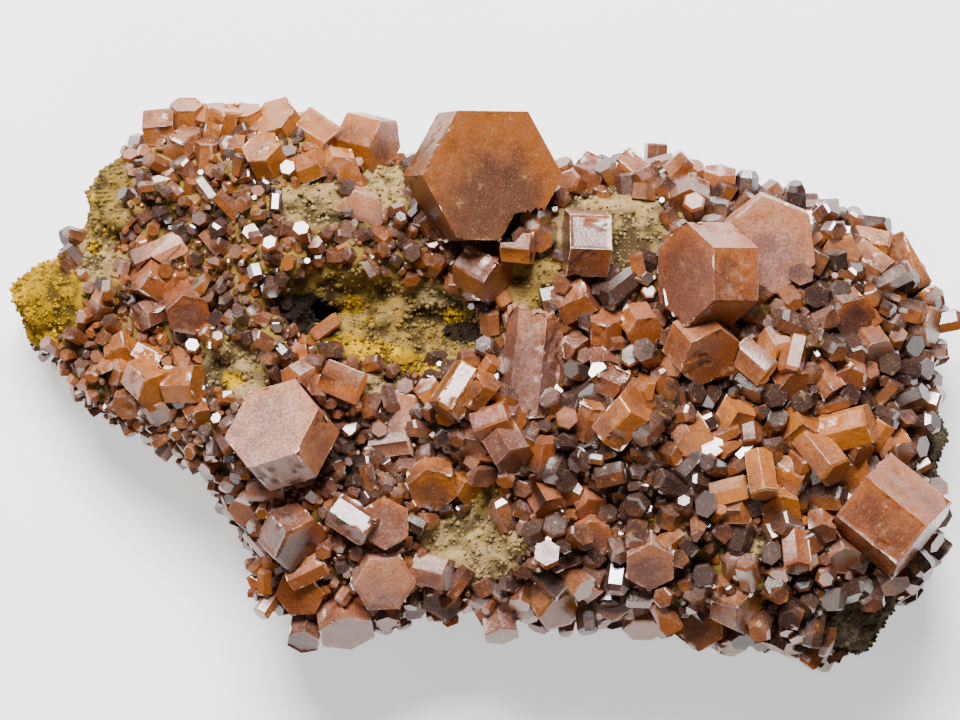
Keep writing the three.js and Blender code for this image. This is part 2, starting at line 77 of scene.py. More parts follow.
class Ground(Enum):
    """What the rock shows where no crystals cover it; DARK is painted shade, a near-black laid in the
    cave and the shaded recesses.
    """

    OCHRE = "ochre"
    YELLOW = "yellow"
    CREAM = "cream"
    GREY = "grey"
    # painted shade: near-black put on the rock where it lies in shadow
    DARK = "dark"


@dataclass(frozen=True)
class Patch:
    """An open stretch of rock, an ellipse seen from above, in millimetres."""

    ground: Ground
    middle: tuple[float, float]
    half: tuple[float, float]
    turn: float = 0.0
    cover: float = 0.0  # share of the patch that crystals still hide

    def depth(self, points: np.ndarray) -> np.ndarray:
        """Tells how deep points lie in the patch.

        Args:
            points: Points in metres, one row each.

        Returns:
            1 in the middle, 0 on the rim, negative outside.
        """
        cos, sin = math.cos(math.radians(self.turn)), math.sin(math.radians(self.turn))
        x = points[:, 0] / MM - self.middle[0]
        y = points[:, 1] / MM - self.middle[1]
        across = (cos * x + sin * y) / self.half[0]
        along = (cos * y - sin * x) / self.half[1]
        return 1.0 - np.hypot(across, along)


PATCHES = (
    Patch(Ground.OCHRE, (-25.0, 14.0), (22.0, 15.0), cover=0.8),
    Patch(Ground.YELLOW, (-46.4, 7.6), (8.0, 6.0)),
    Patch(Ground.OCHRE, (-38.0, 18.4), (3.6, 7.4)),
    Patch(Ground.CREAM, (-38.4, 11.6), (3.0, 2.8), cover=0.2),
    Patch(Ground.YELLOW, (-38.8, 13.0), (1.0, 0.8)),
    Patch(Ground.YELLOW, (-24.6, -0.4), (1.4, 1.0)),
    Patch(Ground.CREAM, (-16.6, 17.0), (4.0, 3.0)),
    Patch(Ground.CREAM, (-9.6, 18.8), (3.0, 3.0)),
    Patch(Ground.OCHRE, (-9.0, 6.4), (12.6, 5.2), -14.0),
    Patch(Ground.CREAM, (-3.6, 8.2), (3.4, 2.0), cover=0.3),
    Patch(Ground.YELLOW, (-9.4, 2.0), (7.0, 1.5), -14.0),
    Patch(Ground.YELLOW, (-12.6, 7.2), (1.3, 1.3)),
    Patch(Ground.YELLOW, (-2.4, 6.0), (1.4, 1.2)),
    Patch(Ground.OCHRE, (5.4, 10.4), (3.6, 4.2)),
    Patch(Ground.CREAM, (13.4, 14.4), (7.6, 5.0), cover=0.15),
    Patch(Ground.CREAM, (-24.2, 0.8), (4.4, 3.4)),
    Patch(Ground.CREAM, (-10.2, -0.7), (3.4, 1.4)),
    Patch(Ground.CREAM, (-6.0, -4.2), (2.4, 1.0), cover=0.3),
    Patch(Ground.CREAM, (-0.6, -17.0), (6.6, 4.4)),
    Patch(Ground.OCHRE, (1.2, -12.4), (3.4, 2.2), cover=0.4),
    Patch(Ground.CREAM, (26.2, -17.4), (2.8, 1.8)),
    Patch(Ground.YELLOW, (28.4, -23.0), (1.8, 1.0), 25.0),
    Patch(Ground.GREY, (39.4, -25.0), (5.6, 4.4)),
    Patch(Ground.GREY, (46.2, -8.0), (2.4, 6.0)),
    # painted shade: near-black ground in the cave and in the shaded recesses among the crystals
    Patch(Ground.DARK, (-17.2, 6.2), (3.4, 2.6)),
    Patch(Ground.DARK, (-1.0, 4.4), (3.0, 1.3)),
    Patch(Ground.DARK, (-12.6, -8.4), (4.6, 4.6), cover=0.7),
    Patch(Ground.DARK, (15.0, -9.6), (11.0, 5.6), cover=0.8),
    Patch(Ground.DARK, (24.0, -1.0), (7.0, 4.6), cover=0.8),
    Patch(Ground.DARK, (32.5, -21.5), (5.0, 3.5), cover=0.8),
)


class Wire:
    """A shader value whose Python arithmetic adds Math nodes."""

    def __init__(self, graph: "Graph", socket: bpy.types.NodeSocket) -> None:
        """Keeps the socket and the graph it belongs to."""
        self.graph = graph
        self.socket = socket

    def _math(self, operation: str, first: Any, second: Any) -> "Wire":
        """Adds one Math node."""
        return self.graph.add("ShaderNodeMath", {"operation": operation}, {0: first, 1: second})

    def __add__(self, other: Any) -> "Wire":
        """Adds a value."""
        return self._math("ADD", self, other)

    __radd__ = __add__

    def __sub__(self, other: Any) -> "Wire":
        """Subtracts a value."""
        return self._math("SUBTRACT", self, other)

    def __rsub__(self, other: Any) -> "Wire":
        """Is subtracted from a value."""
        return self._math("SUBTRACT", other, self)

    def __mul__(self, other: Any) -> "Wire":
        """Multiplies by a value."""
        return self._math("MULTIPLY", self, other)

    __rmul__ = __mul__

    def ramp(self, low: float, high: float) -> "Wire":
        """Rescales so that low becomes 0 and high becomes 1, held in between."""
        settings = {"clamp": True, "interpolation_type": "SMOOTHSTEP"}
        return self.graph.add("ShaderNodeMapRange", settings, {0: self, 1: low, 2: high})


class Graph:
    """The node tree of one material."""

    def __init__(self, name: str) -> None:
        """Starts a material with an empty tree.

        Args:
            name: The material's name.
        """
        self.material = bpy.data.materials.new(name)
        self.material.use_nodes = True
        self.tree = self.material.node_tree
        self.tree.nodes.clear()

    def node(self, kind: str, settings: dict[str, Any], sockets: dict[Any, Any]) -> bpy.types.Node:
        """Makes a node.

        Args:
            kind: The node's type.
            settings: The node's properties, set before its sockets.
            sockets: Values or wires by input name or number.

        Returns:
            The new node.
        """
        node = self.tree.nodes.new(kind)
        for key, value in settings.items():
            setattr(node, key, value)
        for key, value in sockets.items():
            if isinstance(value, Wire):
                self.tree.links.new(value.socket, node.inputs[key])
            elif isinstance(value, tuple) and len(value) == 3 and node.inputs[key].type == "RGBA":
                node.inputs[key].default_value = (*value, 1.0)
            else:
                node.inputs[key].default_value = value
        return node

    def add(
        self, kind: str, settings: dict[str, Any], sockets: dict[Any, Any], output: int = 0
    ) -> Wire:
        """Makes a node and gives one of its outputs as a wire."""
        return Wire(self, self.node(kind, settings, sockets).outputs[output])

    def place(self) -> Wire:
        """Gives the surface point in the object's own frame."""
        return self.add("ShaderNodeTexCoord", {}, {}, output=3)

    def attribute(self, name: str) -> Wire:
        """Reads a number stored on the mesh."""
        return self.add("ShaderNodeAttribute", {"attribute_name": name}, {}, output=2)

    def mottle(self, size: float, detail: float = 4.0, roughness: float = 0.6) -> Wire:
        """Gives soft noise of a size in millimetres, around one half."""
        texture = {"Scale": 1 / (size * MM), "Detail": detail, "Roughness": roughness}
        return self.add("ShaderNodeTexNoise", {}, {"Vector": self.place(), **texture})

    def blend(self, share: Any, first: Any, second: Any) -> Wire:
        """Mixes two colours."""
        settings = {"data_type": "RGBA", "clamp_factor": True}
        return self.add("ShaderNodeMix", settings, {0: share, 6: first, 7: second}, output=2)

    def bump(self, height: Wire, strength: float, distance: float) -> Wire:
        """Turns a height into a normal. distance is in millimetres."""
        sockets = {"Height": height, "Strength": strength, "Distance": distance * MM}
        return self.add("ShaderNodeBump", {}, sockets)

    def close(self, **sockets: Any) -> bpy.types.Material:
        """Ends the tree in a Principled shader.

        Args:
            **sockets: The shader's inputs, with underscores for spaces.

        Returns:
            The finished material.
        """
        inputs = {key.replace("_", " "): value for key, value in sockets.items()}
        shader = self.add("ShaderNodeBsdfPrincipled", {}, inputs)
        self.node("ShaderNodeOutputMaterial", {}, {"Surface": shader})
        return self.material


@dataclass(frozen=True)
class CrystalFinish:
    """The finish of vanadinite: amber where it is thin, partly a painted glow of light through the rims
    and the lower faces, and a dull bloom on old faces, partly painted sheen.
    """

    name: str
    deep: Colour
    warm: Colour
    bloom: Colour
    bloom_share: float
    smoky: Colour = (0.033, 0.016, 0.012)
    # pale colour of chipped edges, in part standing in for painted edge highlights; also used for the
    # painted sparkle
    chipped: Colour = (0.70, 0.55, 0.44)
    soil: Colour = (0.26, 0.17, 0.05)
    gloss: float = 0.12
    rim: float = 0.7
    index: float = 1.65
    tooth: float = 0.07

    def make(self) -> bpy.types.Material:
        """Builds the material.

        Returns:
            The material, ready to use.
        """
        graph = Graph(self.name)
        tone, zone = graph.attribute("tone"), graph.attribute("zone")
        glow, dust_and_sheen = graph.attribute("glow"), graph.attribute("dust_and_sheen")
        cloud = graph.mottle(2.4, 5.0)
        speck = graph.mottle(0.28, 3.0, 0.75)
        body = graph.blend((tone + 0.4 * (cloud - 0.5)).ramp(0.1, 0.5), self.smoky, self.deep)
        # warmth: the crystal's own amber (tone, mottling) plus painted glow at rims facing the light
        # (zone) and on lower faces (glow)
        warmth = (0.5 * tone + self.rim * zone + 0.4 * glow + 0.9 * (cloud - 0.5)).ramp(0.5, 1.05)
        colour = graph.blend(warmth, body, self.warm)
        clear = 0.25 + 0.75 * tone.ramp(0.0, 0.35)
        # the bloom follows dust_and_sheen: dusting, and in part painted sheen on faces turned towards
        # the light
        dull = (0.85 * dust_and_sheen + 1.5 * (cloud - 0.5)).ramp(0.1, 0.85) * self.bloom_share * clear
        colour = graph.blend(dull * (0.15 + 0.85 * speck.ramp(0.42, 0.60)), colour, self.bloom)
        # pale worn edges: chipped edges, and in part painted highlights along the edges
        chips = graph.attribute("edge") * graph.mottle(0.9, 3.0).ramp(0.40, 0.52)
        colour = graph.blend(0.45 - 0.45 * speck.ramp(0.36, 0.52), colour, self.smoky)
        colour = graph.blend(speck.ramp(0.58, 0.68) * 0.5 * clear, colour, self.bloom)
        # painted sparkle: tiny pale specks stand in for glints of light on the faces
        painted_sparkle = graph.mottle(0.16, 2.0, 0.5).ramp(0.62, 0.72)
        colour = graph.blend(painted_sparkle * 0.15, colour, self.chipped)
        colour = graph.blend(chips * 0.85, colour, self.chipped)
        soiled = graph.mottle(1.2, 6.0, 0.7).ramp(0.60, 0.70)
        colour = graph.blend(soiled * 0.5, colour, self.soil)
        return graph.close(
            Base_Color=colour,
            Roughness=self.gloss + 0.2 * cloud + 0.2 * dull + 0.2 * soiled,
            IOR=self.index,
            Normal=graph.bump(speck + graph.mottle(0.9, 3.0), 0.5, self.tooth),
        )


@dataclass(frozen=True)
class RockFinish:
    """The finish of limonite: brown and ochre, with yellow, cream and grey patches, and painted shade in
    its pits, crevices and recesses.
    """

    name: str = "limonite"
    brown: Colour = (0.034, 0.018, 0.008)
    ochre: Colour = (0.195, 0.118, 0.022)
    olive: Colour = (0.26, 0.145, 0.002)
    yellow: Colour = (0.50, 0.28, 0.002)
    tan: Colour = (0.21, 0.135, 0.045)
    cream: Colour = (0.30, 0.205, 0.088)
    grey: Colour = (0.090, 0.068, 0.040)
    # painted shade: near-black for the cave and the shaded recesses
    dark: Colour = (0.014, 0.009, 0.006)
    # painted shade for pits and crevices
    shade: Colour = (0.022, 0.013, 0.006)

    def make(self) -> bpy.types.Material:
        """Builds the material.

        Returns:
            The material, ready to use.
        """
        graph = Graph(self.name)
        cloud = graph.mottle(3.5, 6.0)
        fine = graph.mottle(0.5, 5.0, 0.7)
        speck = graph.mottle(1.1, 3.0)
        colour = graph.blend(cloud.ramp(0.45, 0.65), self.brown, self.ochre)
        tints = {
            Ground.OCHRE: graph.blend(speck.ramp(0.45, 0.65), self.ochre, self.tan),
            Ground.GREY: graph.blend(speck.ramp(0.45, 0.65), self.grey, self.brown),
            Ground.CREAM: graph.blend(speck.ramp(0.35, 0.6), self.tan, self.cream),
            Ground.YELLOW: graph.blend(cloud.ramp(0.5, 0.62), self.olive, self.yellow),
            Ground.DARK: self.dark,
        }
        for ground, tint in tints.items():
            share = graph.attribute(ground.value)
            edge = (share + 0.9 * (speck - 0.5) + 0.7 * (fine - 0.5)).ramp(0.15, 0.5)
            colour = graph.blend(edge, colour, tint)
        spots = graph.attribute("open") * graph.mottle(1.7, 3.0).ramp(0.62, 0.70)
        colour = graph.blend(spots * 0.7, colour, self.yellow)
        # painted shade: pits and crevices, where the relief lies low, are darkened towards the shade
        # colour
        hollow = (graph.attribute("cavity") + 0.9 * (fine - 0.5)).ramp(0.58, 0.05)
        colour = graph.blend(hollow * 0.85, colour, self.shade)
        return graph.close(
            Base_Color=colour,
            Roughness=0.82 + 0.16 * fine,
            IOR=1.2,
            Normal=graph.bump(fine + graph.mottle(0.18, 3.0), 0.8, 0.14),
        )


@dataclass(frozen=True)
class FloorFinish:
    """A plain pale studio floor, lit through like a light table."""

    name: str = "studio_floor"
    colour: Colour = (0.86, 0.86, 0.865)
    light: float = 0.8

    def make(self) -> bpy.types.Material:
        """Builds the material.

        Returns:
            The material, ready to use.
        """
        graph = Graph(self.name)
        return graph.close(
            Base_Color=self.colour,
            Roughness=0.6 + 0.05 * graph.mottle(40.0),
            Emission_Color=self.colour,
            Emission_Strength=self.light,
        )


def keep_object(name: str, mesh: bpy.types.Mesh, material: bpy.types.Material) -> bpy.types.Object:
    """Puts a mesh in the scene.

    Args:
        name: The object's name.
        mesh: Its mesh, already in place.
        material: Its only material.

    Returns:
        The new object, at the origin.
    """
    mesh.materials.clear()
    mesh.materials.append(material)
    piece = bpy.data.objects.new(name, mesh)
    bpy.context.scene.collection.objects.link(piece)
    return piece


def rows_of(items: bpy.types.bpy_prop_collection, key: str) -> np.ndarray:
    """Reads one vector from every vertex or face.

    Args:
        items: A mesh's vertices or polygons.
        key: Which vector, such as "co" or "normal".

    Returns:
        The vectors, one row each.
    """
    values = np.empty(len(items) * 3)
    items.foreach_get(key, values)
    return values.reshape(-1, 3)


def store(mesh: bpy.types.Mesh, name: str, values: np.ndarray, domain: str = "POINT") -> None:
    """Stores one number per vertex or face on a mesh."""
    layer = mesh.attributes.new(name, "FLOAT", domain)
    layer.data.foreach_set("value", np.ascontiguousarray(values, dtype=np.float32))


def mark_light(mesh: bpy.types.Mesh) -> None:
    """Marks the faces that take a painted glow, on the lower side of the picture, and those turned up
    and to the front, which take a pinkish bloom, partly dusting and partly painted sheen.

    Args:
        mesh: The mesh to mark.
    """
    normals = rows_of(mesh.polygons, "normal")
    store(mesh, "glow", np.clip(GLOW_GAIN * normals[:, 1], 0, 1), "FACE")
    store(mesh, "dust_and_sheen", np.clip(normals @ SHEEN_AND_DUST_FROM, 0, 1), "FACE")


def merged_copy(node: str) -> bmesh.types.BMesh:
    """Copies a CAD node's mesh with its loose triangles joined up.

    Args:
        node: The node's name.

    Returns:
        The copy, to be freed by the caller.
    """
    work = bmesh.new()
    work.from_mesh(frame["nodes"][node].data)
    bmesh.ops.remove_doubles(work, verts=work.verts[:], dist=WELD)
    return work


@dataclass
class Rock:
    """The limonite slab: the CAD matrix, remeshed finely and roughened."""

    voxel: float = 0.44 * MM
    swell: float = 0.42 * MM
    flat_below: float = 0.25 * MM
    firm_over: float = 1.5 * MM
    pit_depth: float = 0.9 * MM
    smoothing: int = 5
    patch_edge: float = 2.2
    finish: RockFinish = field(default_factory=RockFinish)
    piece: bpy.types.Object = field(init=False)

    def build(self) -> "Rock":
        """Makes the rock's mesh and dresses it.

        Returns:
            The rock itself, with its piece.
        """
        mesh = self._fine_mesh()
        points, normals = rows_of(mesh.vertices, "co"), rows_of(mesh.vertices, "normal")
        grounds = self.grounds(points, normals)
        relief = np.array([self._relief(p, g) for p, g in zip(points, grounds["texture"])])
        firm = np.clip((points[:, 2] - self.flat_below) / self.firm_over, 0, 1)
        moved = points + normals * ((relief + self.swell) * firm)[:, None]
        moved[:, 2] = np.maximum(moved[:, 2], 0)
        mesh.vertices.foreach_set("co", moved.ravel())
        mesh.update()
        for ground in Ground:
            store(mesh, ground.value, grounds[ground])
        store(mesh, "open", grounds["open"])
        # cavity drives the painted shade in pits: it is low where the relief lies low
        store(mesh, "cavity", np.clip(0.5 + relief / self.pit_depth, 0, 1))
        mesh.shade_smooth()
        self.piece = keep_object("matrix_rock", mesh, self.finish.make())
        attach(self.piece, BODY)
        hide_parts(ROCK_NODE)
        return self

    def _fine_mesh(self) -> bpy.types.Mesh:
        """Remeshes a copy of the CAD rock and takes its facets off.

        Returns:
            The fine mesh, before its relief.
        """
        rough = bpy.data.meshes.new("rough_rock")
        work = merged_copy(ROCK_NODE)
        work.to_mesh(rough)
        work.free()
        holder = bpy.data.objects.new("rough_rock", rough)
        bpy.context.scene.collection.objects.link(holder)
        remesh = holder.modifiers.new("fine", "REMESH")
        remesh.mode = "VOXEL"
        remesh.voxel_size = self.voxel
        evaluated = holder.evaluated_get(bpy.context.evaluated_depsgraph_get())
        work = bmesh.new()
        work.from_mesh(evaluated.to_mesh())
        bpy.data.objects.remove(holder)
        upper = [v for v in work.verts if v.co.z > self.flat_below]
        axes = {"use_axis_x": True, "use_axis_y": True, "use_axis_z": True}
        for _ in range(self.smoothing):
            bmesh.ops.smooth_vert(work, verts=upper, factor=0.5, **axes)
        mesh = bpy.data.meshes.new("matrix_rock")
        work.to_mesh(mesh)
        work.free()
        return mesh

    def grounds(self, points: np.ndarray, normals: np.ndarray) -> dict[Any, np.ndarray]:
        """Finds what ground each point shows, and how deep it lies in the painted recess shade.

        Args:
            points: Points on the rock, in metres.
            normals: The rock's normals there.

        Returns:
            A share from 0 to 1 per ground, the share of open rock, and a texture mix that
            is 0 on plain rock, 1 on granular ground and 2 on spongy cream crust.
        """
        shares: dict[Any, np.ndarray] = {ground: np.zeros(len(points)) for ground in Ground}
        upper = np.clip((points[:, 2] / MM - 5.0) / 3.0, 0, 1)
        shares["open"] = np.clip((0.1 - normals[:, 2]) * 2.5, 0, 1)
        for patch in PATCHES:
            share = np.clip(patch.depth(points) * self.patch_edge, 0, 1) * upper
            shares[patch.ground] = np.maximum(shares[patch.ground], share)
            shares["open"] = np.maximum(shares["open"], share * (1 - patch.cover))
        granular = np.maximum(shares[Ground.OCHRE], shares[Ground.YELLOW])
        crust = shares[Ground.CREAM]
        shares["texture"] = np.where(crust > granular, 2.0 * crust, granular)
        return shares

    def _relief(self, point: np.ndarray, texture: float) -> float:
        """Gives the height of lumps, grains and pits at a point.

        Args:
            point: A point on the smooth rock, in metres.
            texture: The texture mix of its ground.

        Returns:
            How far the surface stands out, in metres.
        """
        place = Vector(point) / MM
        lumps = 0.55 * noise.noise(place / 4.2) + 0.42 * noise.noise(place / 1.7)
        fine = 0.34 * noise.noise(place / 0.8)
        granular = min(texture, 2.0 - texture) if texture > 1 else texture
        height = lumps + fine
        if granular > 0.02:
            height += granular * (0.25 - 0.5 * noise.voronoi(place / 1.0)[0][0])
            height += granular * 0.7 * noise.noise(place / 2.4 + Vector((7, 3, 5)))
        if texture > 1.0:
            height += (texture - 1.0) * (0.9 * min(noise.voronoi(place / 1.9)[0][0], 0.6) - 0.5)
        return height * MM


BEVEL = {"profile": 0.5, "material": -1, "clamp_overlap": True}
BREAK_FROM = Vector((0.75, 0.35, 0.55)).normalized()


def all_parts(work: bmesh.types.BMesh) -> list[Any]:
    """Lists every vertex, edge and face."""
    return work.verts[:] + work.edges[:] + work.faces[:]


@dataclass(frozen=True)
class CrystalShape:
    """A unit crystal that is copied many times: its points and its faces."""

    points: np.ndarray
    faces: tuple[tuple[int, ...], ...]

    @classmethod
    def prism(cls, pyramid: float, crop: float = 0.0) -> "CrystalShape":
        """Makes a hexagonal prism of radius 1 and half-length 1.

        Args:
            pyramid: Width of the pyramid faces round both ends, 0 for none.
            crop: How far a slanting break takes off one corner, 0 for none.

        Returns:
            The shape.
        """
        work = bmesh.new()
        bmesh.ops.create_cone(work, cap_ends=True, segments=6, radius1=1, radius2=1, depth=2)
        if pyramid:
            rims = [e for e in work.edges if abs(e.verts[0].co.z - e.verts[1].co.z) < 0.1]
            bmesh.ops.bevel(work, geom=rims, offset=pyramid, segments=1, affect="EDGES", **BEVEL)
        if crop:
            cut = bmesh.ops.bisect_plane(
                work,
                geom=all_parts(work),
                plane_co=BREAK_FROM * crop,
                plane_no=BREAK_FROM,
                clear_outer=True,
            )
            rim = [item for item in cut["geom_cut"] if isinstance(item, bmesh.types.BMEdge)]
            bmesh.ops.contextual_create(work, geom=rim)
            bmesh.ops.recalc_face_normals(work, faces=work.faces[:])
        return cls._taken_from(work)

    @classmethod
    def grain(cls, rng: np.random.Generator) -> "CrystalShape":
        """Makes a knobbly crumb of radius about 1.

        Args:
            rng: Draws the knobs.

        Returns:
            The shape.
        """
        work = bmesh.new()
        bmesh.ops.create_icosphere(work, subdivisions=1, radius=1)
        for vert, reach in zip(work.verts, rng.uniform(0.7, 1.15, len(work.verts))):
            vert.co *= reach
        return cls._taken_from(work)

    @classmethod
    def _taken_from(cls, work: bmesh.types.BMesh) -> "CrystalShape":
        """Takes the points and faces out of a bmesh.

        Args:
            work: The modelled shape, freed here.

        Returns:
            The shape.
        """
        work.verts.index_update()
        points = np.array([v.co[:] for v in work.verts])
        faces = tuple(tuple(v.index for v in f.verts) for f in work.faces)
        work.free()
        return cls(points, faces)


@dataclass
class Strewn:
    """Copies of unit shapes that become one mesh."""

    places: list[Matrix] = field(default_factory=list)
    shapes: list[CrystalShape] = field(default_factory=list)
    values: dict[str, list[float]] = field(default_factory=dict)

    def add(self, shape: CrystalShape, place: Matrix, **values: float) -> None:
        """Adds one copy.

        Args:
            shape: The unit shape.
            place: Its turn, size and place.
            **values: Its numbers for the material.
        """
        self.shapes.append(shape)
        self.places.append(place)
        for name, value in values.items():
            self.values.setdefault(name, []).append(value)

    def mesh(self, name: str) -> bpy.types.Mesh:
        """Joins all the copies.

        Args:
            name: The mesh's name.

        Returns:
            One mesh, with each number stored per face.
        """
        points, corners, sizes, owners = [], [], [], []
        base = 0
        for index, (shape, place) in enumerate(zip(self.shapes, self.places)):
            turn = np.array(place)
            points.append(shape.points @ turn[:3, :3].T + turn[:3, 3])
            for face in shape.faces:
                corners.extend(base + corner for corner in face)
                sizes.append(len(face))
                owners.append(index)
            base += len(shape.points)
        mesh = bpy.data.meshes.new(name)
        mesh.vertices.add(base)
        mesh.vertices.foreach_set("co", np.concatenate(points).ravel())
        mesh.loops.add(len(corners))
        mesh.loops.foreach_set("vertex_index", corners)
        mesh.polygons.add(len(sizes))
        mesh.polygons.foreach_set("loop_start", np.concatenate(([0], np.cumsum(sizes)[:-1])))
        mesh.update(calc_edges=True)
        for key, values in self.values.items():
            store(mesh, key, np.array(values)[owners], "FACE")
        mesh.shade_flat()
        return mesh


@dataclass(frozen=True)
class Bite:
    """A break in a crystal, seen from above: what lies beyond both lines goes back to the first."""

    wall: tuple[float, float]
    wall_at: tuple[float, float]
    side: tuple[float, float]
    side_at: tuple[float, float]
    ragged: float = 0.0

    def press(self, point: Vector) -> Vector:
        """Finds where a surface point goes in the break.

        Args:
            point: The point on the whole crystal.

        Returns:
            Its place after the break.
        """
        place = point / MM
        wall, side = Vector((*self.wall, 0)).normalized(), Vector((*self.side, 0)).normalized()
        over = (place - Vector((*self.wall_at, 0))).dot(wall)
        if (place - Vector((*self.side_at, 0))).dot(side) <= 0:
            return point
        over += self.ragged * (noise.noise(place / 1.1) + 0.7 * noise.noise(place / 0.5))
        return point - wall * (max(over, 0.0) * MM)


BITES = {
    "great_tablet": Bite(wall=(25, -13), wall_at=(3.5, 15.9), side=(0, -1), side_at=(0, 16.3)),
    "tall_lath": Bite(wall=(0.3, 1), wall_at=(5.6, 6.4), side=(0, 1), side_at=(0, 4.0), ragged=0.9),
}


@dataclass
class LargeCrystals:
    """One CAD node of large crystals, with growth steps, chips and worn edges."""

    node: str
    slot: str
    material: bpy.types.Material
    rng: np.random.Generator
    edge_wear: float = 0.09 * MM
    fine_face: float = 9.0 * MM * MM
    grid: float = 0.4 * MM
    least_reach: float = 0.2 * MM
    flat_angle: float = math.radians(1.5)
    sharp_angle: float = math.radians(18)
    smooth_angle: float = math.radians(24)
    step_area: float = 2.0 * MM * MM
    step_share: float = 0.55
    step_corners: int = 7
    chip: float = 0.28 * MM
    chip_share: float = 0.2
    large_wear: float = 1.6
    etch_depth: float = 0.22
    etch_cell: float = 0.8
    cores: list[Vector] = field(default_factory=list)
    planes: list[list[tuple[Vector, float]]] = field(default_factory=list)
    piece: bpy.types.Object = field(init=False)

    def build(self) -> "LargeCrystals":
        """Makes the piece that stands for the node.

        Returns:
            The crystals themselves, with their piece.
        """
        work = merged_copy(self.node)
        bmesh.ops.dissolve_limit(
            work,
            angle_limit=self.flat_angle,
            verts=work.verts[:],
            edges=work.edges[:],
            use_dissolve_boundaries=False,
        )
        work.faces.layers.int.new("crystal")
        work.faces.layers.int.new("edge")
        self._tell_apart(work)
        self._growth_steps(work)
        self._wear(work)
        if self._is_large(work):
            self._etch(work)
        mesh = bpy.data.meshes.new(self.node + "_crystals")
        self._mark(work, mesh)
        mark_light(mesh)
        mesh.shade_smooth()
        mesh.set_sharp_from_angle(angle=self.smooth_angle)
        self.piece = keep_object(self.node + "_crystals", mesh, self.material)
        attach(self.piece, BODY)
        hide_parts(self.node)
        return self

    def _is_large(self, work: bmesh.types.BMesh) -> bool:
        """Tells whether the largest face asks for fine detail."""
        return max(face.calc_area() for face in work.faces) > self.fine_face

    def _tell_apart(self, work: bmesh.types.BMesh) -> None:
        """Numbers the crystals of a cluster, which meet along hollow edges, and keeps their planes.

        Args:
            work: The cluster.
        """
        layer = work.faces.layers.int["crystal"]
        for face in work.faces:
            face[layer] = -1
        for start in work.faces:
            if start[layer] >= 0:
                continue
            ring, members = [start], []
            start[layer] = len(self.cores)
            while ring:
                face = ring.pop()
                members.append(face)
                for edge in face.edges:
                    if not edge.is_convex:
                        continue
                    for other in edge.link_faces:
                        if other[layer] < 0:
                            other[layer] = len(self.cores)
                            ring.append(other)
            middles = [face.calc_center_median() for face in members]
            core = sum(middles, Vector()) / len(middles)
            normals = [face.normal.copy() for face in members]
            planes = [(n, (middle - core).dot(n)) for n, middle in zip(normals, middles)]
            self.cores.append(core)
            self.planes.append([plane for plane in planes if plane[1] > self.least_reach])

    def _growth_steps(self, work: bmesh.types.BMesh) -> None:
        """Raises or sinks a plate on some of the larger flat faces.

        Args:
            work: The cluster.
        """
        for face in work.faces[:]:
            area = face.calc_area()
            if area < self.step_area or len(face.verts) > self.step_corners:
                continue
            if self.rng.random() > self.step_share:
                continue
            width = (0.04 + 0.06 * self.rng.random()) * math.sqrt(area)
            height = self.rng.choice([-1, 1]) * self.rng.uniform(0.04, 0.11) * MM
            bmesh.ops.inset_individual(work, faces=[face], thickness=width, depth=height)

    def _wear(self, work: bmesh.types.BMesh) -> None:
        """Chips some corners and wears the edges.

        Args:
            work: The cluster.
        """
        layer = work.faces.layers.int["edge"]
        threes = [v for v in work.verts if len(v.link_edges) == 3]
        corners = [v for v in threes if all(e.is_convex for e in v.link_edges)]
        chipped = [v for v in corners if self.rng.random() < self.chip_share]
        if chipped:
            bmesh.ops.bevel(work, geom=chipped, offset=self.chip, segments=1, affect="VERTICES", **BEVEL)
        convex = [e for e in work.edges if e.is_manifold and e.is_convex]
        sharp = [e for e in convex if e.calc_face_angle() > self.sharp_angle]
        width = self.edge_wear * (self.large_wear if self._is_large(work) else 1.0)
        worn = bmesh.ops.bevel(work, geom=sharp, offset=width, segments=2, affect="EDGES", **BEVEL)
        for face in worn["faces"]:
            face[layer] = 1

    def _etch(self, work: bmesh.types.BMesh) -> None:
        """Divides a large crystal's faces and etches them along the crystal's own axes.

        Args:
            work: The crystal.
        """
        main = max(work.faces, key=lambda face: face.calc_area()).normal.copy()
        side = main.orthogonal().normalized()
        axes = (main, side, main.cross(side))
        for axis in axes:
            reach = [v.co.dot(axis) for v in work.verts]
            for step in np.arange(min(reach) + self.grid / 2, max(reach), self.grid):
                bmesh.ops.bisect_plane(
                    work, geom=all_parts(work), plane_co=axis * step, plane_no=axis
                )
        work.normal_update()
        for vert in work.verts:
            place = vert.co / MM
            ripple = 0.03 * noise.noise(place / 1.6) + 0.02 * noise.noise(place / 0.6)
            cell = Vector([math.floor(place.dot(axis) / self.etch_cell) for axis in axes])
            old = noise.noise(place / 2.7) > 0.15 and abs(vert.normal.dot(main)) < 0.7
            etched = old and noise.cell(cell * 1.37) > 0.3
            vert.co += vert.normal * (ripple - self.etch_depth * etched) * MM
            if self.node in BITES:
                vert.co = BITES[self.node].press(vert.co)

    def _mark(self, work: bmesh.types.BMesh, mesh: bpy.types.Mesh) -> None:
        """Writes the mesh with a tone per crystal, a zone from core to rim, and its worn edges.

        Args:
            work: The finished cluster, freed here.
            mesh: The mesh to write.
        """
        layers = work.faces.layers.int
        numbers = [max(face[layers["crystal"]], 0) for face in work.faces]
        worn = [face[layers["edge"]] for face in work.faces]
        zones = [self._zone(v.co, max(v.link_faces[0][layers["crystal"]], 0)) for v in work.verts]
        tones = self.rng.uniform(0.3, 0.85, len(self.cores))
        work.to_mesh(mesh)
        work.free()
        store(mesh, "tone", tones[numbers], "FACE")
        store(mesh, "edge", np.array(worn), "FACE")
        store(mesh, "zone", np.array(zones))

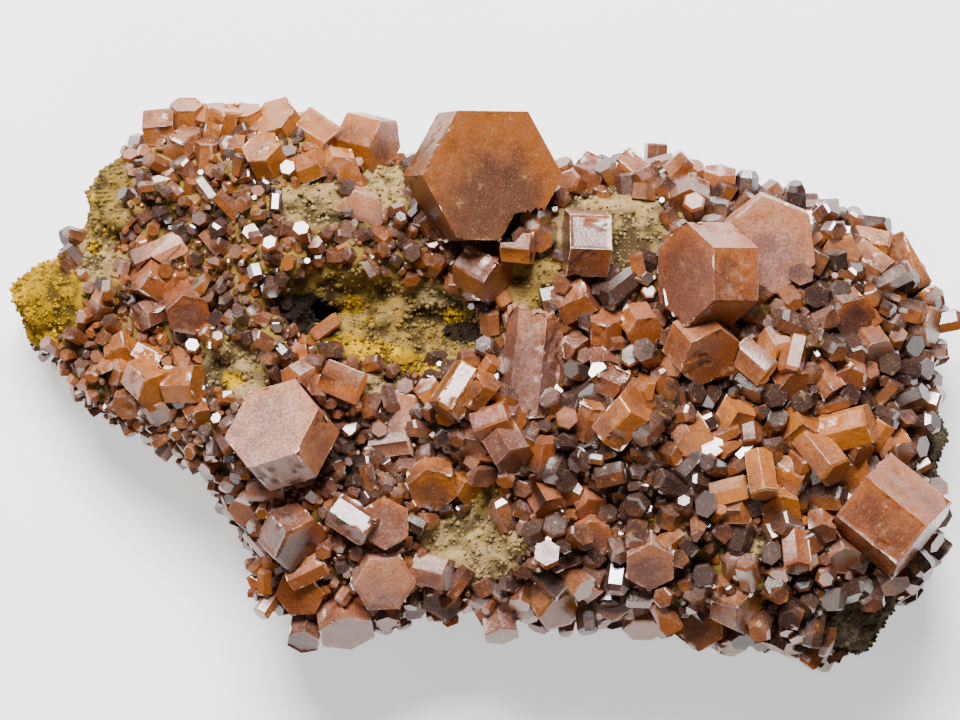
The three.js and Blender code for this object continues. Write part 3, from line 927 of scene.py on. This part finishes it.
    def _zone(self, point: Vector, number: int) -> float:
        """Tells how thin and lit the crystal is at a surface point.

        Args:
            point: A point on the surface.
            number: Its crystal.

        Returns:
            0 in mid-face, up to 1 at the rims that face the light.
        """
        span = point - self.cores[number]
        shares = sorted(span.dot(normal) / reach for normal, reach in self.planes[number])
        if len(shares) < 2 or not span.length:
            return 0.5
        upward = span.normalized().dot(SKYWARD)
        return min(max(shares[-2], 0.0), 1.0) * (0.6 + 0.4 * upward)


@dataclass
class Druse:
    """The carpet of small crystals, strewn where the rock isn't open."""

    rock: Rock
    obstacles: BVHTree
    rng: np.random.Generator
    tries: int = 90000
    packing: float = 0.80
    cell: float = 2.6 * MM
    ends: tuple[tuple[float, float], ...] = (
        (0.16, 0.0), (0.28, 0.0), (0.08, 0.0), (0.0, 0.0), (0.12, 0.62), (0.2, 0.0),
    )  # pyramid width and break of each unit crystal

    def build(self, finish: bpy.types.Material) -> list[bpy.types.Object]:
        """Strews the crystals and dresses them.

        Args:
            finish: Their material.

        Returns:
            The pieces, one per stretch of the rock.
        """
        stretches = {"left": Strewn(), "middle": Strewn(), "right": Strewn()}
        shapes = [CrystalShape.prism(pyramid, crop) for pyramid, crop in self.ends]
        for point, normal, radius in self._seats():
            shape = shapes[self.rng.integers(len(shapes))]
            place = self._place(point, normal, radius)
            # painted shade: crystals seated in the shaded recesses get a lower tone, so they come out
            # darker and smokier
            dark = self.rock.grounds(np.array([point]), np.array([normal]))[Ground.DARK][0]
            tone = self._tone(point) * (1.0 - 0.8 * dark)
            x = point.x / MM
            key = "left" if x < -14 else "middle" if x < 14 else "right"
            stretches[key].add(shape, place, tone=tone, zone=float(self.rng.uniform(0.3, 0.9)))
        pieces = []
        for key, strewn in stretches.items():
            name = f"druse_{key}"
            mesh = strewn.mesh(name)
            mark_light(mesh)
            piece = keep_object(name, mesh, finish)
            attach(piece, BODY)
            LOG.info("%s: %d crystals", name, len(strewn.places))
            pieces.append(piece)
        return pieces

    def _seats(self) -> Iterator[tuple[Vector, Vector, float]]:
        """Finds places for crystals, the largest first, that don't crowd each other.

        Returns:
            The seat, the rock's normal and the radius of each.
        """
        mesh = self.rock.piece.data
        areas = np.empty(len(mesh.polygons))
        mesh.polygons.foreach_get("area", areas)
        middles, normals = rows_of(mesh.polygons, "center"), rows_of(mesh.polygons, "normal")
        chosen = self.rng.choice(len(areas), self.tries, p=areas / areas.sum())
        middles, normals = middles[chosen], normals[chosen]
        open_share = self.rock.grounds(middles, normals)["open"]
        height, jitter = middles[:, 2] / MM, self.rng.random(self.tries)
        bare = open_share > 0.22 + 0.25 * jitter
        grows = ~bare & (height > 6.0 + 3.0 * jitter) & (normals[:, 2] > -0.1)
        middles, normals = middles[grows], normals[grows]
        radii, room = self._radii(middles), self._room(middles)
        taken: dict[tuple[int, int, int], list[tuple[np.ndarray, float]]] = {}
        for index in np.argsort(-radii):
            point, radius = middles[index], radii[index]
            key = tuple((point // self.cell).astype(int))
            near = (
                seat
                for dx in (-1, 0, 1)
                for dy in (-1, 0, 1)
                for dz in (-1, 0, 1)
                for seat in taken.get((key[0] + dx, key[1] + dy, key[2] + dz), ())
            )
            reach = room[index] * radius
            if any(np.linalg.norm(point - other) < reach + room[index] * size for other, size in near):
                continue
            seat, normal = Vector(point), Vector(normals[index])
            if self._buried(seat + normal * radius) or self._buried(seat + normal * 0.3 * radius):
                continue
            taken.setdefault(key, []).append((point, radius))
            yield seat, normal, float(radius)

    def _radii(self, points: np.ndarray) -> np.ndarray:
        """Draws a radius for each place: small at the left, larger at the right."""
        share = np.clip((points[:, 0] / MM + 12) / 20, 0, 1)
        largest = 0.88 + 0.42 * share
        smallest = 0.24 + 0.06 * share
        return (smallest + (largest - smallest) * self.rng.random(len(points)) ** 2.8) * MM

    def _room(self, points: np.ndarray) -> np.ndarray:
        """Gives how far apart crystals stand, over their radius: wider at the upper left."""
        left = np.clip((-6 - points[:, 0] / MM) / 8, 0, 1) * np.clip((points[:, 1] / MM + 4) / 6, 0, 1)
        return self.packing + 0.14 * left

    def _buried(self, point: Vector) -> bool:
        """Tells whether a point lies inside a large crystal."""
        near, normal, _, distance = self.obstacles.find_nearest(point, 4 * MM)
        return near is not None and (point - near).dot(normal) < 0

    def _place(self, point: Vector, normal: Vector, radius: float) -> Matrix:
        """Turns, sizes and sets one crystal.

        Args:
            point: Its seat on the rock.
            normal: The rock's normal there.
            radius: Its radius.

        Returns:
            The unit prism's transform.
        """
        lean = Vector(self.rng.normal(size=3)).normalized() * self.rng.uniform(0.1, 1.3)
        axis = (normal + lean).normalized()
        half = radius * self.rng.uniform(0.6, 1.9)
        upright = abs(axis.dot(normal))
        lift = 0.45 * (half * upright + radius * (1 - upright))
        spin = Matrix.Rotation(self.rng.uniform(0, math.tau), 4, "Z")
        turn = axis.to_track_quat("Z", "Y").to_matrix().to_4x4() @ spin
        width, depth = self.rng.uniform(0.85, 1.15), self.rng.uniform(0.85, 1.1)
        stretch = Matrix.Diagonal((radius * width, radius * depth, half, 1))
        return Matrix.Translation(point + normal * lift) @ turn @ stretch

    def _tone(self, point: Vector) -> float:
        """Draws a tone at random, lower on average, so darker and smokier, towards the right."""
        right = min(max((point.x / MM + 14) / 26, 0.0), 1.0)
        return float(np.clip(self.rng.normal(0.36 - 0.18 * right, 0.24), 0, 1))


@dataclass
class Grains:
    """Loose crumbs of ochre, yellow and cream rock on the open ground."""

    rock: Rock
    rng: np.random.Generator
    count: int = 9000

    def build(self, finish: bpy.types.Material) -> bpy.types.Object:
        """Strews the crumbs.

        Args:
            finish: Their material.

        Returns:
            The piece.
        """
        mesh = self.rock.piece.data
        points, normals = rows_of(mesh.vertices, "co"), rows_of(mesh.vertices, "normal")
        grounds = self.rock.grounds(points, normals)
        weight = grounds["open"] * (points[:, 2] > 4 * MM) + 0.02 * (points[:, 2] > 6 * MM)
        chosen = self.rng.choice(len(points), self.count, p=weight / weight.sum(), replace=False)
        shapes = [CrystalShape.grain(self.rng) for _ in range(6)]
        strewn = Strewn()
        for index in chosen:
            radius = (0.12 + 0.26 * self.rng.random() ** 2.5) * MM
            angle, axis = self.rng.uniform(0, math.tau), Vector(self.rng.normal(size=3))
            turn = Matrix.Rotation(angle, 4, axis.normalized())
            seat = Vector(points[index] + normals[index] * radius * 0.3)
            stretch = Matrix.Diagonal((radius, radius * 0.85, radius * 0.7, 1))
            place = Matrix.Translation(seat) @ turn @ stretch
            # crumbs take the grounds under them, painted recess shade included, and a random cavity
            # value, so some take a little painted pit shade
            shares = {ground.value: float(grounds[ground][index]) for ground in Ground}
            shape = shapes[self.rng.integers(len(shapes))]
            strewn.add(shape, place, open=1.0, cavity=float(self.rng.uniform(0.45, 1)), **shares)
        piece = keep_object("matrix_grains", strewn.mesh("matrix_grains"), finish)
        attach(piece, BODY)
        return piece


@dataclass
class Studio:
    """The floor, the lights and the camera that looks straight down on the specimen."""

    middle: tuple[float, float] = (0.2 * MM, 1.6 * MM)
    frame_width: float = 96 * MM
    focus_height: float = 21 * MM
    lens: float = 240.0
    sensor: float = 36.0

    def build(self) -> None:
        """Makes the whole setting."""
        self._floor()
        self._camera()
        self._lights()

    def _floor(self) -> None:
        """Lays the floor."""
        work = bmesh.new()
        bmesh.ops.create_grid(work, x_segments=1, y_segments=1, size=2.0)
        mesh = bpy.data.meshes.new("floor")
        work.to_mesh(mesh)
        work.free()
        keep_object("floor", mesh, FloorFinish().make())

    def _camera(self) -> None:
        """Sets the camera above the specimen, with the top of the picture towards +Y."""
        data = bpy.data.cameras.new("camera")
        data.lens = self.lens
        data.sensor_width = self.sensor
        data.clip_start = 0.01
        camera = bpy.data.objects.new("camera", data)
        distance = self.frame_width * self.lens / self.sensor
        camera.location = (*self.middle, self.focus_height + distance)
        bpy.context.scene.collection.objects.link(camera)
        bpy.context.scene.camera = camera

    def _lights(self) -> None:
        """Hangs the soft boxes and lights the surroundings."""
        self._soft_box("key", (-0.06, 0.42, 0.50), (0.38, 0.24), 19.0)
        self._soft_box("fill", (0.14, -0.40, 0.50), (0.24, 0.2), 0.7)
        self._soft_box("top", (0.08, -0.14, 0.90), (0.3, 0.3), 0.35)
        self._soft_box("side", (-0.50, 0.05, 0.35), (0.3, 0.3), 0.6)
        world = bpy.data.worlds.new("studio")
        world.use_nodes = True
        sky = world.node_tree.nodes["Background"]
        sky.inputs["Color"].default_value = (1.0, 0.99, 0.98, 1.0)
        sky.inputs["Strength"].default_value = 0.016
        bpy.context.scene.world = world

    def _soft_box(
        self, name: str, place: tuple[float, ...], size: tuple[float, float], power: float
    ) -> None:
        """Hangs one soft box that faces the specimen.

        Args:
            name: The lamp's name.
            place: Where it hangs, in metres.
            size: Its width and height, in metres.
            power: Its power in watts.
        """
        data = bpy.data.lights.new(name, "AREA")
        data.shape = "RECTANGLE"
        data.size, data.size_y = size
        data.energy = power
        lamp = bpy.data.objects.new(name, data)
        lamp.location = place
        aim = Vector((0, 0, 0.015)) - Vector(place)
        lamp.rotation_euler = aim.to_track_quat("-Z", "Y").to_euler()
        bpy.context.scene.collection.objects.link(lamp)


CRYSTAL_FINISHES = {
    "russet": CrystalFinish(
        "vanadinite_russet",
        deep=(0.108, 0.032, 0.015),
        warm=(0.265, 0.066, 0.008),
        bloom=(0.205, 0.092, 0.062),
        bloom_share=0.55,
    ),
    "amber": CrystalFinish(
        "vanadinite_amber",
        deep=(0.132, 0.038, 0.011),
        warm=(0.33, 0.092, 0.005),
        bloom=(0.23, 0.100, 0.055),
        bloom_share=0.4,
    ),
    # mauve: the largest share of the pinkish bloom, which is dusting and in part painted sheen on faces
    # turned towards the light
    "mauve": CrystalFinish(
        "vanadinite_mauve",
        deep=(0.142, 0.049, 0.029),
        warm=(0.32, 0.100, 0.030),
        bloom=(0.34, 0.178, 0.135),
        bloom_share=0.85,
        gloss=0.24,
        index=1.8,
    ),
}
GREAT_TABLET_FINISH = CrystalFinish(
    "vanadinite_great_tablet",
    deep=(0.070, 0.023, 0.008),
    warm=(0.19, 0.048, 0.002),
    bloom=(0.115, 0.044, 0.021),
    smoky=(0.046, 0.017, 0.008),
    bloom_share=0.4,
    gloss=0.3,
    rim=1.1,
    index=1.4,
)
DRUSE_FINISH = CrystalFinish(
    "vanadinite_druse",
    deep=(0.076, 0.025, 0.014),
    warm=(0.29, 0.078, 0.009),
    bloom=(0.170, 0.080, 0.054),
    bloom_share=0.5,
    gloss=0.09,
    index=1.9,
    tooth=0.02,
)


def crystal_tree(nodes: Iterable[str]) -> BVHTree:
    """Gathers the CAD crystals in one search tree.

    Args:
        nodes: The crystals' names.

    Returns:
        The tree of all their faces.
    """
    points: list[Vector] = []
    faces: list[tuple[int, ...]] = []
    for name in nodes:
        mesh = frame["nodes"][name].data
        base = len(points)
        points.extend(vert.co.copy() for vert in mesh.vertices)
        faces.extend(tuple(base + i for i in face.vertices) for face in mesh.polygons)
    return BVHTree.FromPolygons(points, faces)


def main() -> None:
    """Builds the specimen and its setting."""
    logging.basicConfig(level=logging.INFO, format="%(message)s")
    slots = {part["node"]: part["material_slot"] for part in frame["record"]["subparts"]}
    crystal_nodes = sorted(name for name in frame["nodes"] if name != ROCK_NODE)
    rock = Rock().build()
    LOG.info("%s: %d faces", rock.piece.name, len(rock.piece.data.polygons))
    materials = {slot: finish.make() for slot, finish in CRYSTAL_FINISHES.items()}
    great = GREAT_TABLET_FINISH.make()
    for number, node in enumerate(crystal_nodes):
        rng = np.random.default_rng(100 + number)
        material = great if node == "great_tablet" else materials[slots[node]]
        crystals = LargeCrystals(node, slots[node], material, rng).build()
        LOG.info("%s: %d faces", crystals.piece.name, len(crystals.piece.data.polygons))
    Druse(rock, crystal_tree(crystal_nodes), np.random.default_rng(7)).build(DRUSE_FINISH.make())
    grains = Grains(rock, np.random.default_rng(5)).build(rock.piece.data.materials[0])
    LOG.info("%s: %d faces", grains.name, len(grains.data.polygons))
    Studio().build()
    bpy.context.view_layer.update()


if __name__ == "__main__":
    main()
